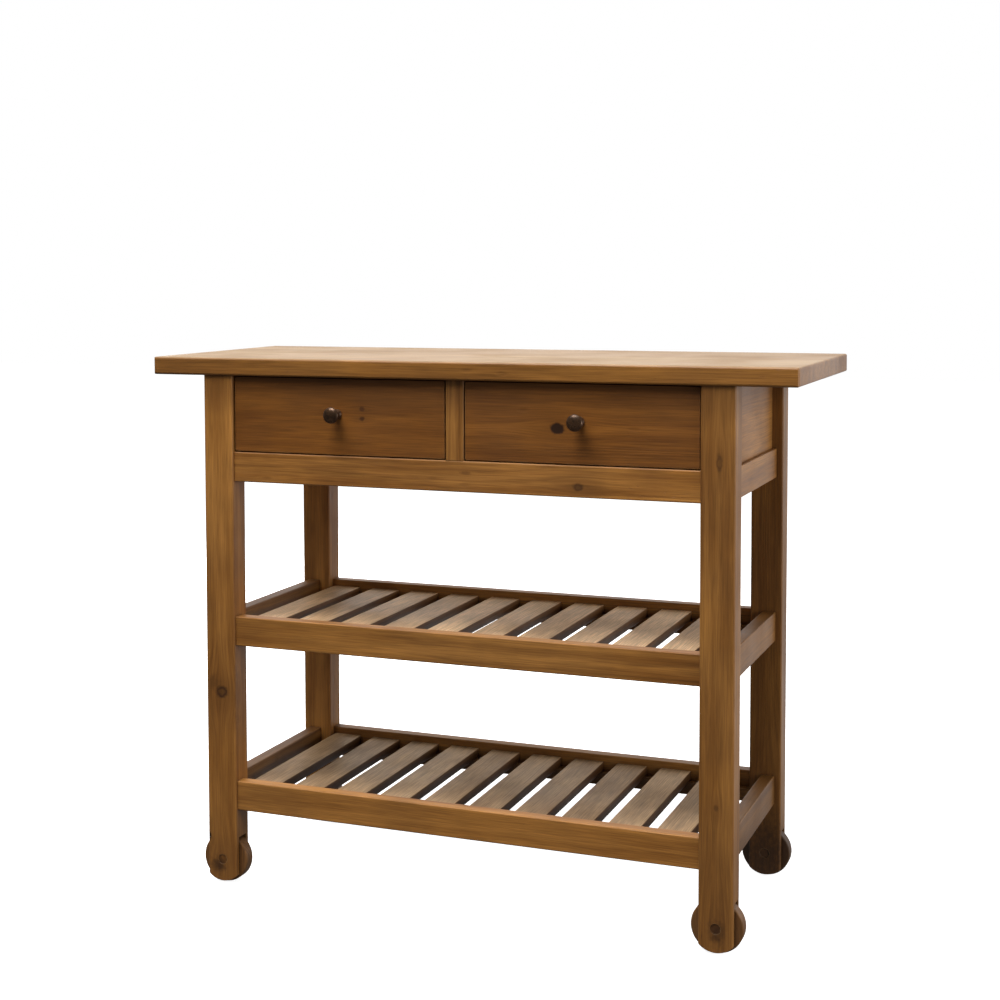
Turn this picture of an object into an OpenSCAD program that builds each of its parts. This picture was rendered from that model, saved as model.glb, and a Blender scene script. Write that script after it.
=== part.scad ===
// Rolling serving table: a pine frame on four wooden disc wheels, with two
// drawers under a plank top and two slatted shelves below them.
// X runs along the table, the drawers open towards -Y, Z is up, the floor is Z = 0.

/* [Table] */
// Height of the worktop above the floor
table_h = 900; // [840:5:960]
// Length of the frame over the outside of the legs
frame_l = 904; // [820:2:1100]
// Depth of the frame over the outside of the legs
frame_w = 422; // [380:2:560]

/* [Top] */
// Thickness of the top
top_t = 30; // [22:1:40]
// Overhang of the top beyond the legs at each end
end_overhang = 94; // [20:1:140]
// Overhang of the top beyond the legs at the front
front_overhang = 5; // [1:1:22]
// Overhang of the top beyond the legs at the back
back_overhang = 25; // [1:1:40]
// Radius of the eased edges of the top
top_ease = 4; // [1:0.5:8]

/* [Legs] */
// Size of a leg along the table
leg_x = 54; // [50:1:66]
// Size of a leg across the table
leg_y = 44; // [42:1:56]
// Radius of the eased corners of a leg
leg_ease = 3; // [1:0.5:4]
// Height of the rounded foot above the floor
foot_lift = 4; // [2:0.5:8]

/* [Rails] */
// Height of every rail
rail_h = 50; // [40:1:60]
// Thickness of every rail
rail_t = 23; // [19:1:25]
// Step from the face of a leg back to a front or back rail
rail_set = 5; // [4:0.5:8]
// Step from the end face of a leg back to a side rail
side_set = 11; // [8:0.5:13]
// Radius of the eased edges of the rails
rail_ease = 2; // [0.5:0.5:3]
// Thickness of a tenon
tenon_t = 9; // [7:0.5:10]
// Shoulder above and below a tenon
tenon_shoulder = 8; // [5:0.5:10]
// Wood left between the two tenons that meet in a leg
tenon_wall = 5; // [3:0.5:8]
// Length of the tenons of the side rails
side_tenon = 20; // [14:1:26]

/* [End and back panels] */
// Step from a rail back to the panel above it
panel_step = 8; // [6:0.5:9]
// Thickness of the tongue of a panel
tongue_t = 7; // [4:0.5:8]
// Length of the tongue of a panel
tongue_l = 8; // [5:0.5:10]

/* [Shelves] */
// Underside of the middle shelf's rails above the floor
middle_z = 411; // [360:1:470]
// Underside of the lower shelf's rails above the floor
lower_z = 128; // [120:1:170]
// Number of slats in a shelf
slat_n = 10; // [8:1:11]
// Width of a slat
slat_w = 54; // [46:1:62]
// Thickness of a slat
slat_t = 16; // [8:0.5:18]
// Drop from the top of the rails to the slats
slat_drop = 12; // [2:1:16]
// Gap between the left legs and the first slat
slat_end_gap = 2; // [1:0.5:10]
// Radius of the eased edges of a slat
slat_ease = 1.5; // [0.5:0.5:3]
// Width of the battens that carry the slats
batten_w = 15; // [10:1:22]

/* [Drawer bay] */
// Height of the bay between the apron rail and the top
bay_h = 129; // [110:1:150]
// Width of the stile between the drawers
stile_w = 31; // [26:1:44]
// Length of the tenon at the foot of the stile
stile_tenon = 14; // [8:1:20]
// Height of the bars under the top that stop a drawer from tipping
kicker_h = 20; // [14:1:28]
// Height of the runners
runner_h = 18; // [12:1:24]
// Height of the guides that stand on the runners
guide_h = 25; // [12:1:40]
// How far a runner reaches inwards past a drawer side
runner_lip = 3; // [1:0.5:8]

/* [Drawers] */
// Gap round a drawer front
drawer_gap = 2; // [1.5:0.5:4]
// Step from the rail back to a drawer front
drawer_set = 1.5; // [0.5:0.5:3]
// Thickness of a drawer front
front_t = 20; // [16:1:22]
// Radius of the eased edges of a drawer front
front_ease = 1.5; // [0.5:0.5:3]
// Thickness of the drawer sides
side_t = 12; // [11:0.5:15]
// Thickness of the drawer back
back_t = 12; // [10:0.5:15]
// Thickness of the drawer bottom
bottom_t = 6; // [4:0.5:8]
// Depth of the grooves that hold the drawer bottom
groove_d = 6; // [3:0.5:7]
// Height of the groove above the edge of the sides
groove_z = 8; // [6:0.5:14]
// Number of dovetails at the front of a drawer side
tail_n = 4; // [3:1:5]
// Length of the dovetails
tail_l = 13; // [8:1:14]
// Drop from the sides to the top edge of the drawer back
back_drop = 10; // [0:1:30]
// Distance of the drawer back from the end of the sides
back_inset = 8; // [0:1:20]

/* [Knobs] */
// Diameter of a knob
knob_d = 27; // [24:1:36]
// Projection of a knob from the drawer front
knob_l = 31; // [26:1:36]
// Diameter of the neck of a knob
neck_d = 12.5; // [9:0.5:14]
// Diameter of the seat of a knob
seat_d = 16.5; // [14:0.5:22]
// Height of a knob above the middle of its drawer front
knob_rise = 4; // [0:0.5:12]
// Diameter of the screw that holds a knob
knob_screw_d = 4; // [3:0.5:5]

/* [Wheels] */
// Radius of a wheel
wheel_r = 41; // [36:0.5:46]
// Thickness of a wheel
wheel_t = 22; // [16:1:23]
// Radius of the eased rim of a wheel
wheel_ease = 2.5; // [1:0.5:5]
// Gap between the rim of a wheel and the crown of its slot
slot_clear = 6; // [3:0.5:9]
// Diameter of the steel axles
axle_d = 8; // [6:0.5:10]
// Wall of the bush in a wheel
bush_wall = 2; // [1:0.25:3]
// Thickness of the washers beside a wheel
washer_t = 1.2; // [0.8:0.1:1.4]
// Diameter of the washers beside a wheel
washer_d = 20; // [16:1:26]
// Diameter of the plugs that cover the axle ends
plug_d = 16; // [13:0.5:20]
// Thickness of the plugs
plug_t = 3; // [2:0.25:3.5]
// Depth of the plugs below the face of the leg
plug_recess = 1; // [0.25:0.25:1.5]

/* [Screws of the top] */
// Diameter of the screws that hold the top
top_screw_d = 4; // [3:0.5:5]
// Depth of the screws in the top
top_screw_bite = 16; // [10:1:18]
// Spacing of the screws along a kicker
top_screw_gap = 220; // [120:10:240]

/* [Fits] */
// Gap round tenons, tongues and panels in their grooves
fit = 0.3; // [0.2:0.05:0.5]
// Sliding gap under a drawer and beside its guides
slide_gap = 0.4; // [0.3:0.1:0.8]
// Radial running gap between an axle and its bush
run_gap = 0.075; // [0.05:0.005:0.1]
// Radial gap of a part that is pressed or screwed home
press_gap = 0.05; // [0.03:0.01:0.1]

/* [Hidden] */
$fn = 64;
eps = 1;
leg_top = table_h - top_t;
apron_top = leg_top - bay_h;
apron_z = apron_top - rail_h;
foot_r = wheel_r - foot_lift;
slot_r = wheel_r + slot_clear;
slot_w = wheel_t + 2 * washer_t + 4 * fit;
bush_r = axle_d / 2 + run_gap + bush_wall;

// Clear distances between the legs, and between the inner faces of the rails
bay_l = frame_l - 2 * leg_x;
bay_w = frame_w - 2 * leg_y;
in_l = frame_l - 2 * (side_set + rail_t);
in_w = frame_w - 2 * (rail_set + rail_t);
panel_t = rail_t - panel_step;
long_tenon = leg_x - side_set - (rail_t + tenon_t) / 2 - tenon_wall;

// A drawer on the +X side, between the stile and a leg
front_x0 = stile_w / 2 + drawer_gap;
front_x1 = bay_l / 2 - drawer_gap;
front_y0 = rail_set + drawer_set - frame_w / 2;
front_y1 = front_y0 + front_t;
front_z0 = apron_top + drawer_gap;
front_z1 = leg_top - drawer_gap;
box_x0 = front_x0 + 1;
box_x1 = front_x1 - 1;
box_y1 = in_w / 2 - slide_gap;
box_z1 = leg_top - kicker_h - drawer_gap;
bottom_z = front_z0 + groove_z;
knob_x = (front_x0 + front_x1) / 2;
knob_z = (front_z0 + front_z1) / 2 + knob_rise;
kicker_x = (box_x1 - side_t - runner_lip + in_l / 2) / 2;
kicker_cx = box_x0 + side_t + runner_lip;

// The frame stands so that the knobs reach as far to the front as the top does to the back
knob_reach = knob_l - rail_set - drawer_set;
frame_y = (max(knob_reach, front_overhang) - back_overhang) / 2;

pine = "#8a5f33";
pine_top = "#c9a67a";
pine_front = "#7d5229";
pine_slat = "#8f7358";
pine_pale = "#c8a878";
wheel_wood = "#5f3c1e";
steel = "#8d8f92";
iron = "#3c342e";

// Placing

// The frame's own middle, on the floor
module in_frame() {
    translate([0, frame_y, 0]) children();
}

// Draws for the +X side and mirrors to the other
module on_side(side) {
    in_frame() mirror([side < 0 ? 1 : 0, 0, 0]) children();
}

// Draws from the outer corner of a leg, with +X and +Y pointing into the table
module at_corner(side, end) {
    in_frame()
        mirror([side > 0 ? 1 : 0, 0, 0])
            mirror([0, end > 0 ? 1 : 0, 0])
                translate([-frame_l / 2, -frame_w / 2, 0])
                    children();
}

module at_every_corner() {
    for (side = [-1, 1])
        for (end = [-1, 1])
            at_corner(side, end) children();
}

// At the middle of a wheel, with Z along its axle
module at_axle() {
    translate([leg_x / 2, leg_y / 2, wheel_r]) rotate([90, 0, 0]) children();
}

// Shapes

// A box between two corners
module block(low, high) {
    translate(low) cube(high - low);
}

// A rectangle with its corner on the origin and round corners
module eased_rect(w, h, r) {
    translate([r, 0]) square([w - 2 * r, h]);
    translate([0, r]) square([w, h - 2 * r]);
    for (x = [r, w - r])
        for (y = [r, h - r])
            translate([x, y]) circle(r = r, $fn = 32);
}

// A bar along X, centred on it, with eased long edges
module bar_x(length, w, h, r) {
    rotate([90, 0, 90]) linear_extrude(length, center = true) eased_rect(w, h, r);
}

// A bar along Y, centred on it, with eased long edges
module bar_y(length, w, h, r) {
    rotate([90, 0, 0]) linear_extrude(length, center = true) eased_rect(w, h, r);
}

// Top

module top_slab() {
    l = frame_l + 2 * end_overhang;
    w = frame_w + front_overhang + back_overhang;
    translate([0, (back_overhang - front_overhang) / 2, leg_top]) intersection() {
        translate([0, -w / 2, 0]) bar_x(l, w, top_t, top_ease);
        translate([-l / 2, 0, 0]) bar_y(w, l, top_t, top_ease);
        translate([-l / 2, -w / 2, 0]) linear_extrude(top_t) eased_rect(l, w, top_ease);
    }
}

// Draws at each screw of the top, at the underside of the kickers
module at_top_screws() {
    for (x = [-kicker_x, 0, kicker_x])
        for (y = [-top_screw_gap / 2, top_screw_gap / 2])
            translate([x, y, leg_top - kicker_h]) children();
}

module top_screw_hole(extra) {
    head_r = top_screw_d + extra;
    translate([0, 0, -eps]) cylinder(r = head_r, h = eps + kicker_h / 3);
    cylinder(r = top_screw_d / 2 + extra, h = kicker_h + top_screw_bite + extra);
}

module tabletop() {
    color(pine_top) in_frame() difference() {
        top_slab();
        at_top_screws() top_screw_hole(press_gap);
    }
}

module top_screws() {
    head_h = 0.6 * top_screw_d;
    color(steel) in_frame() at_top_screws() {
        translate([0, 0, kicker_h / 3 - head_h]) cylinder(r = top_screw_d, h = head_h);
        translate([0, 0, kicker_h / 3 - eps])
            cylinder(d = top_screw_d, h = 2 * kicker_h / 3 + eps + top_screw_bite);
    }
}

// Legs, each forked at the foot for its wheel

module leg_blank() {
    foot_z = wheel_r - foot_r;
    intersection() {
        translate([0, 0, foot_z]) linear_extrude(leg_top - foot_z) eased_rect(leg_x, leg_y, leg_ease);
        union() {
            at_axle() cylinder(r = foot_r, h = leg_y + 2 * eps, center = true, $fn = 96);
            block([-eps, -eps, wheel_r], [leg_x + eps, leg_y + eps, leg_top + eps]);
        }
    }
}

// The fork's slot, the axle's bore and the seats of its two plugs
module foot_cuts() {
    seat_d = plug_recess + plug_t;
    at_axle() {
        cylinder(r = slot_r, h = slot_w, center = true, $fn = 96);
        cylinder(r = axle_d / 2 + press_gap, h = leg_y + 2 * eps, center = true);
        for (z = [-leg_y / 2 - eps, leg_y / 2 - seat_d])
            translate([0, 0, z]) cylinder(r = plug_d / 2 + press_gap, h = seat_d + eps);
    }
}

// Mortises for the two rails that meet in a leg at height z
module rail_mortises(z) {
    half = tenon_t / 2 + fit;
    z0 = z + tenon_shoulder - fit;
    z1 = z + rail_h - tenon_shoulder + fit;
    long_y = rail_set + rail_t / 2;
    side_x = side_set + rail_t / 2;
    block([leg_x - long_tenon - fit, long_y - half, z0], [leg_x + eps, long_y + half, z1]);
    block([side_x - half, leg_y - side_tenon - fit, z0], [side_x + half, leg_y + eps, z1]);
}

module panel_grooves(back) {
    half = tongue_t / 2 + fit;
    side_x = side_set + panel_step + panel_t / 2;
    back_y = rail_set + panel_step + panel_t / 2;
    top = leg_top + eps;
    block([side_x - half, leg_y - tongue_l - fit, apron_top], [side_x + half, leg_y + eps, top]);
    if (back)
        block([leg_x - tongue_l - fit, back_y - half, apron_top], [leg_x + eps, back_y + half, top]);
}

module leg(side, end) {
    color(pine) at_corner(side, end) difference() {
        leg_blank();
        foot_cuts();
        for (z = [apron_z, middle_z, lower_z]) rail_mortises(z);
        panel_grooves(end > 0);
    }
}

// Rails

// A front rail at height z, with its two tenons
module long_rail(z) {
    y = rail_set - frame_w / 2;
    mid = y + rail_t / 2;
    translate([0, y, z]) bar_x(bay_l, rail_t, rail_h, rail_ease);
    block(
        [-bay_l / 2 - long_tenon, mid - tenon_t / 2, z + tenon_shoulder],
        [bay_l / 2 + long_tenon, mid + tenon_t / 2, z + rail_h - tenon_shoulder]
    );
}

// A side rail on the +X side at height z, with its two tenons
module side_rail(z) {
    x = frame_l / 2 - side_set - rail_t;
    mid = x + rail_t / 2;
    translate([x, 0, z]) bar_y(bay_w, rail_t, rail_h, rail_ease);
    block(
        [mid - tenon_t / 2, -bay_w / 2 - side_tenon, z + tenon_shoulder],
        [mid + tenon_t / 2, bay_w / 2 + side_tenon, z + rail_h - tenon_shoulder]
    );
}

module front_rail(z) {
    color(pine) in_frame() long_rail(z);
}

module back_rail(z) {
    color(pine) in_frame() mirror([0, 1, 0]) long_rail(z);
}

module end_rail(side, z) {
    color(pine) on_side(side) side_rail(z);
}

module apron_rail_front() {
    color(pine) in_frame() difference() {
        long_rail(apron_z);
        stile_foot(fit);
    }
}

// Panels that close the drawer bay at the ends and the back

module end_panel(side) {
    x0 = in_l / 2;
    mid = x0 + panel_t / 2;
    reach = bay_w / 2 + tongue_l;
    color(pine_front) on_side(side) {
        block([x0, -bay_w / 2, apron_top], [x0 + panel_t, bay_w / 2, leg_top]);
        block([mid - tongue_t / 2, -reach, apron_top], [mid + tongue_t / 2, reach, leg_top]);
    }
}

module back_panel() {
    y0 = in_w / 2;
    mid = y0 + panel_t / 2;
    reach = bay_l / 2 + tongue_l;
    color(pine_front) in_frame() {
        block([-bay_l / 2, y0, apron_top], [bay_l / 2, y0 + panel_t, leg_top]);
        block([-reach, mid - tongue_t / 2, apron_top], [reach, mid + tongue_t / 2, leg_top]);
    }
}

// Stile between the drawers, with a tenon down into the front rail

module stile_foot(gap) {
    mid = rail_set + rail_t / 2 - frame_w / 2;
    half = [stile_w / 4 + gap, tenon_t / 2 + gap];
    block(
        [-half.x, mid - half.y, apron_top - stile_tenon - gap],
        [half.x, mid + half.y, apron_top + eps]
    );
}

module divider_stile() {
    y = rail_set - frame_w / 2;
    color(pine) in_frame() {
        translate([-stile_w / 2, y, apron_top])
            linear_extrude(bay_h) eased_rect(stile_w, rail_t, rail_ease);
        stile_foot(0);
    }
}

// Runners under the drawers, with guides beside them

module side_runner(side) {
    top = front_z0 - slide_gap;
    x0 = box_x1 - side_t - runner_lip;
    color(pine_pale) on_side(side) {
        block([x0, -in_w / 2, top - runner_h], [bay_l / 2, in_w / 2, top]);
        block([x0, -bay_w / 2, top - runner_h], [in_l / 2, bay_w / 2, top]);
        block([box_x1 + slide_gap, -bay_w / 2, top - runner_h], [in_l / 2, bay_w / 2, top + guide_h]);
    }
}

module centre_runner() {
    top = front_z0 - slide_gap;
    guide_x = box_x0 - slide_gap;
    color(pine_pale) in_frame() {
        block([-kicker_cx, -in_w / 2, top - runner_h], [kicker_cx, in_w / 2, top]);
        block([-guide_x, -in_w / 2, top - runner_h], [guide_x, in_w / 2, top + guide_h]);
    }
}

module side_kicker(side) {
    x0 = box_x1 - side_t - runner_lip;
    color(pine_pale) difference() {
        on_side(side) block([x0, -bay_w / 2, leg_top - kicker_h], [in_l / 2, bay_w / 2, leg_top]);
        in_frame() at_top_screws() top_screw_hole(press_gap);
    }
}

module centre_kicker() {
    color(pine_pale) in_frame() difference() {
        block([-kicker_cx, -in_w / 2, leg_top - kicker_h], [kicker_cx, in_w / 2, leg_top]);
        at_top_screws() top_screw_hole(press_gap);
    }
}

// Shelves

// The slats of a shelf whose rails start at height z, laid from the left legs, each followed by a gap
module slats(z) {
    l = in_w - 2 * fit;
    first = slat_end_gap - bay_l / 2;
    pitch = (bay_l - slat_end_gap) / slat_n;
    top = z + rail_h - slat_drop;
    color(pine_slat) in_frame()
        for (i = [0 : slat_n - 1])
            translate([first + i * pitch, 0, top - slat_t])
                bar_y(l, slat_w, slat_t, slat_ease);
}

// The two battens under the slats, on the inner faces of the long rails and as low as these
module battens(z) {
    top = z + rail_h - slat_drop - slat_t;
    y0 = in_w / 2 - batten_w;
    color(pine) in_frame()
        for (end = [0, 1])
            mirror([0, end, 0])
                block([fit - bay_l / 2, y0, z], [bay_l / 2 - fit, in_w / 2, top]);
}

// Wheels on fixed steel axles

module wheel(side, end) {
    half = wheel_t / 2;
    r = wheel_ease;
    color(wheel_wood) at_corner(side, end) at_axle() rotate_extrude($fn = 96)
        difference() {
            union() {
                translate([0, -half]) square([wheel_r - r, wheel_t]);
                translate([0, r - half]) square([wheel_r, wheel_t - 2 * r]);
                for (y = [r - half, half - r])
                    translate([wheel_r - r, y]) circle(r = r, $fn = 32);
            }
            translate([0, -half - eps]) square([bush_r + press_gap, wheel_t + 2 * eps]);
        }
}

module ring(outer_r, inner_r, h) {
    difference() {
        cylinder(r = outer_r, h = h, center = true);
        cylinder(r = inner_r, h = h + 2 * eps, center = true);
    }
}

module bush(side, end) {
    color(steel) at_corner(side, end) at_axle() ring(bush_r, axle_d / 2 + run_gap, wheel_t);
}

module wheel_washers() {
    offset = (wheel_t + washer_t) / 2 + fit;
    color(steel) at_every_corner() at_axle()
        for (z = [-offset, offset])
            translate([0, 0, z]) ring(washer_d / 2, axle_d / 2 + fit, washer_t);
}

module axles() {
    l = leg_y - 2 * (plug_recess + plug_t);
    color(steel) at_every_corner() at_axle() cylinder(d = axle_d, h = l, center = true);
}

module axle_plugs() {
    offset = leg_y / 2 - plug_recess - plug_t / 2;
    color(wheel_wood) at_every_corner() at_axle()
        for (z = [-offset, offset])
            translate([0, 0, z]) cylinder(d = plug_d, h = plug_t, center = true);
}

// Drawers, drawn on the +X side

// The tails of a drawer side as seen from the side: a strip with tail_n wedges
module tails(length, gap) {
    pitch = (box_z1 - front_z0) / tail_n;
    slope = 0.15 * tail_l;
    wide = 0.32 * pitch + gap;
    for (i = [0 : tail_n - 1]) {
        z = (i + 0.5) * pitch;
        polygon([
            [eps, z - wide + slope - 0.15 * eps],
            [-length, z - wide],
            [-length, z + wide],
            [eps, z + wide - slope + 0.15 * eps]
        ]);
    }
}

// Tails of the side whose outer face is at x, reaching from the front's back face
module side_tails(x0, x1, gap) {
    translate([x0, front_y1, front_z0])
        rotate([90, 0, 90])
            linear_extrude(x1 - x0)
                tails(tail_l + gap, gap);
}

// The grooves round the drawer box that hold the bottom
module bottom_grooves() {
    x0 = box_x0 + side_t - groove_d;
    x1 = box_x1 - side_t + groove_d;
    block(
        [x0 - fit, front_y1 - groove_d - fit, bottom_z],
        [x1 + fit, box_y1 + eps, bottom_z + bottom_t + fit]
    );
}

module drawer_front(side) {
    size = [front_x1 - front_x0, front_z1 - front_z0];
    color(pine_front) on_side(side) difference() {
        translate([front_x0, front_y1, front_z0])
            rotate([90, 0, 0]) linear_extrude(front_t) eased_rect(size.x, size.y, front_ease);
        side_tails(front_x0 - eps, box_x0 + side_t, fit);
        side_tails(box_x1 - side_t, front_x1 + eps, fit);
        bottom_grooves();
        translate([knob_x, front_y1 + eps, knob_z])
            rotate([90, 0, 0]) cylinder(r = knob_screw_d / 2 + press_gap, h = front_t + 2 * eps);
    }
}

module drawer_side(side, x0) {
    color(pine_pale) on_side(side) difference() {
        union() {
            block([x0, front_y1, front_z0], [x0 + side_t, box_y1, box_z1]);
            side_tails(x0, x0 + side_t, 0);
        }
        bottom_grooves();
    }
}

module drawer_back(side) {
    y1 = box_y1 - back_inset;
    z0 = bottom_z + bottom_t;
    color(pine_pale) on_side(side)
        block([box_x0 + side_t, y1 - back_t, z0], [box_x1 - side_t, y1, box_z1 - back_drop]);
}

module drawer_bottom(side) {
    x0 = box_x0 + side_t - groove_d;
    x1 = box_x1 - side_t + groove_d;
    color(pine_pale) on_side(side)
        block([x0, front_y1 - groove_d, bottom_z], [x1, box_y1, bottom_z + bottom_t]);
}

// A turned knob: a small seat, a neck that flares like a trumpet and a domed head
module knob(side) {
    head_r = knob_d / 2;
    neck_r = neck_d / 2;
    seat_r = seat_d / 2;
    flare_z = 0.25 * knob_l;
    rim_z = 0.8 * knob_l;
    dome_h = knob_l - rim_z;
    bite = 0.45 * knob_l;
    seat = [[0, 0], [seat_r, 0], [seat_r, 0.08 * knob_l], [neck_r + 0.2 * (seat_r - neck_r), 0.16 * knob_l]];
    flare = [
        for (s = [0 : 0.125 : 1]) [neck_r + (head_r - neck_r) * s * s, flare_z + (rim_z - flare_z) * s]
    ];
    dome = [for (t = [10 : 10 : 80]) [head_r * cos(t), rim_z + dome_h * sin(t)]];
    color(iron) on_side(side)
        translate([knob_x, front_y0, knob_z]) rotate([90, 0, 0]) rotate_extrude($fn = 64)
            difference() {
                polygon(concat(seat, flare, dome, [[0, knob_l]]));
                translate([0, -eps]) square([knob_screw_d / 2 + press_gap, bite + eps]);
            }
}

module knob_screw(side) {
    head_h = 0.6 * knob_screw_d;
    color(steel) on_side(side)
        translate([knob_x, front_y1, knob_z]) rotate([90, 0, 0]) {
            translate([0, 0, -head_h]) cylinder(r = knob_screw_d, h = head_h);
            translate([0, 0, -eps]) cylinder(d = knob_screw_d, h = front_t + 0.4 * knob_l + eps);
        }
}

tabletop();
leg(-1, -1);  // leg_front_left
leg(1, -1);  // leg_front_right
leg(-1, 1);  // leg_back_left
leg(1, 1);  // leg_back_right
apron_rail_front();
back_rail(apron_z);  // apron_rail_back
end_rail(-1, apron_z);  // apron_rail_left
end_rail(1, apron_z);  // apron_rail_right
end_panel(-1);  // end_panel_left
end_panel(1);  // end_panel_right
back_panel();
divider_stile();
side_runner(-1);  // runner_left
centre_runner();  // runner_centre
side_runner(1);  // runner_right
side_kicker(-1);  // kicker_left
centre_kicker();  // kicker_centre
side_kicker(1);  // kicker_right
top_screws();
front_rail(middle_z);  // middle_rail_front
back_rail(middle_z);  // middle_rail_back
end_rail(-1, middle_z);  // middle_rail_left
end_rail(1, middle_z);  // middle_rail_right
slats(middle_z);  // middle_slats
battens(middle_z);  // middle_battens
front_rail(lower_z);  // lower_rail_front
back_rail(lower_z);  // lower_rail_back
end_rail(-1, lower_z);  // lower_rail_left
end_rail(1, lower_z);  // lower_rail_right
slats(lower_z);  // lower_slats
battens(lower_z);  // lower_battens
axles();
axle_plugs();
wheel_washers();
wheel(-1, -1);  // wheel_front_left
wheel(1, -1);  // wheel_front_right
wheel(-1, 1);  // wheel_back_left
wheel(1, 1);  // wheel_back_right
bush(-1, -1);  // bush_front_left
bush(1, -1);  // bush_front_right
bush(-1, 1);  // bush_back_left
bush(1, 1);  // bush_back_right
drawer_front(-1);  // drawer_left_front
drawer_side(-1, box_x1 - side_t);  // drawer_left_outer_side
drawer_side(-1, box_x0);  // drawer_left_inner_side
drawer_back(-1);  // drawer_left_back
drawer_bottom(-1);  // drawer_left_bottom
knob(-1);  // knob_left
knob_screw(-1);  // knob_screw_left
drawer_front(1);  // drawer_right_front
drawer_side(1, box_x1 - side_t);  // drawer_right_outer_side
drawer_side(1, box_x0);  // drawer_right_inner_side
drawer_back(1);  // drawer_right_back
drawer_bottom(1);  // drawer_right_bottom
knob(1);  // knob_right
knob_screw(1);  // knob_screw_right
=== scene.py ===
"""Rolling serving table in waxed pine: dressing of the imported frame, floor, light and camera."""

import math

import bpy
from mathutils import Matrix, Vector


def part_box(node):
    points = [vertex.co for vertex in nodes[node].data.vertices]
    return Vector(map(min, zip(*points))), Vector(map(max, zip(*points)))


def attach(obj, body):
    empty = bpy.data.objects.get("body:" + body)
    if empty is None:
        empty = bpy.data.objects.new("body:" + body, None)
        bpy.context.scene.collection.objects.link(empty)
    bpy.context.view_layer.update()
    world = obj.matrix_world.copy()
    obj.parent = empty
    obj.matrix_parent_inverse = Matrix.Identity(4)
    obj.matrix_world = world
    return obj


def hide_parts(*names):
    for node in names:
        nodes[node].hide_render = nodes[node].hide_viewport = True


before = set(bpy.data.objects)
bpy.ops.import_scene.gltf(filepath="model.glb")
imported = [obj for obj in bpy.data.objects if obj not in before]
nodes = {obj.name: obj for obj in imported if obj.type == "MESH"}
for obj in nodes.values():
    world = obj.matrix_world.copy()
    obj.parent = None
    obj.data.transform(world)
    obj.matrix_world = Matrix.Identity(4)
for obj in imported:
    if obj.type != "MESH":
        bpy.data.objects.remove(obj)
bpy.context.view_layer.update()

# The frame stands this far behind the origin, so that knobs and top reach equally far
FRAME_Y = -0.00025


# Wiring of node trees


class Wiring:
    """A node tree being wired. Each call adds a node and gives back one of its outputs."""

    def __init__(self, tree):
        self.tree = tree

    def add(self, kind, values=None, out=0, **settings):
        node = self.tree.nodes.new(kind)
        for name, value in settings.items():
            setattr(node, name, value)
        for key, value in (values or {}).items():
            self.put(node.inputs[key], value)
        return node.outputs[out] if node.outputs else None

    def put(self, socket, value):
        if isinstance(value, bpy.types.NodeSocket):
            self.tree.links.new(value, socket)
        else:
            socket.default_value = value

    def maths(self, operation, *values, clamp=False):
        return self.add(
            "ShaderNodeMath", dict(enumerate(values)), operation=operation, use_clamp=clamp
        )

    def vector(self, operation, *values, out=0):
        return self.add(
            "ShaderNodeVectorMath", dict(enumerate(values)), out=out, operation=operation
        )

    def scaled(self, vector, amount):
        node = self.tree.nodes.new("ShaderNodeVectorMath")
        node.operation = "SCALE"
        self.put(node.inputs[0], vector)
        self.put(node.inputs["Scale"], amount)
        return node.outputs[0]

    def parts(self, vector):
        node = self.tree.nodes.new("ShaderNodeSeparateXYZ")
        self.put(node.inputs[0], vector)
        return node.outputs

    def joined(self, x, y, z):
        return self.add("ShaderNodeCombineXYZ", {0: x, 1: y, 2: z})

    def noise(self, vector, detail=2.0, roughness=0.5, out=0):
        return self.add(
            "ShaderNodeTexNoise",
            {"Vector": vector, "Scale": 1.0, "Detail": detail, "Roughness": roughness},
            out=out,
        )

    def step(self, value, low, high, to_low=0.0, to_high=1.0):
        return self.add(
            "ShaderNodeMapRange",
            {"Value": value, "From Min": low, "From Max": high, "To Min": to_low, "To Max": to_high},
            interpolation_type="SMOOTHSTEP",
        )

    def blend(self, share, first, second, mode="MIX"):
        node = self.tree.nodes.new("ShaderNodeMix")
        node.data_type = "RGBA"
        node.blend_type = mode
        self.put(node.inputs[0], share)
        self.put(node.inputs[6], first)
        self.put(node.inputs[7], second)
        return node.outputs[2]


SOCKETS = {
    "value": "NodeSocketFloat",
    "vector": "NodeSocketVector",
    "colour": "NodeSocketColor",
}


def shader_group(name, inputs, outputs):
    """An empty shader group with named sockets, its wiring, its inputs and its output node."""
    tree = bpy.data.node_groups.new(name, "ShaderNodeTree")
    for socket, kind, default in inputs:
        made = tree.interface.new_socket(socket, in_out="INPUT", socket_type=SOCKETS[kind])
        if default is not None:
            made.default_value = default
    for socket, kind in outputs:
        tree.interface.new_socket(socket, in_out="OUTPUT", socket_type=SOCKETS[kind])
    given = tree.nodes.new("NodeGroupInput").outputs
    result = tree.nodes.new("NodeGroupOutput").inputs
    return tree, Wiring(tree), given, result


def place_group(wiring, tree, values):
    """Puts a group into a tree and gives back its outputs."""
    node = wiring.tree.nodes.new("ShaderNodeGroup")
    node.node_tree = tree
    for key, value in values.items():
        wiring.put(node.inputs[key], value)
    return node.outputs


def paint(red, green, blue):
    """A colour as read off a screen, 0 to 255, made linear."""

    def linear(level):
        level /= 255
        return level / 12.92 if level <= 0.04045 else ((level + 0.055) / 1.055) ** 2.4

    return (linear(red), linear(green), linear(blue), 1.0)


# Shader groups shared by the timber

# Leaves of a place only what lies across the grain
ACROSS_GRAIN = (0.0, 1.0, 1.0)


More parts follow.
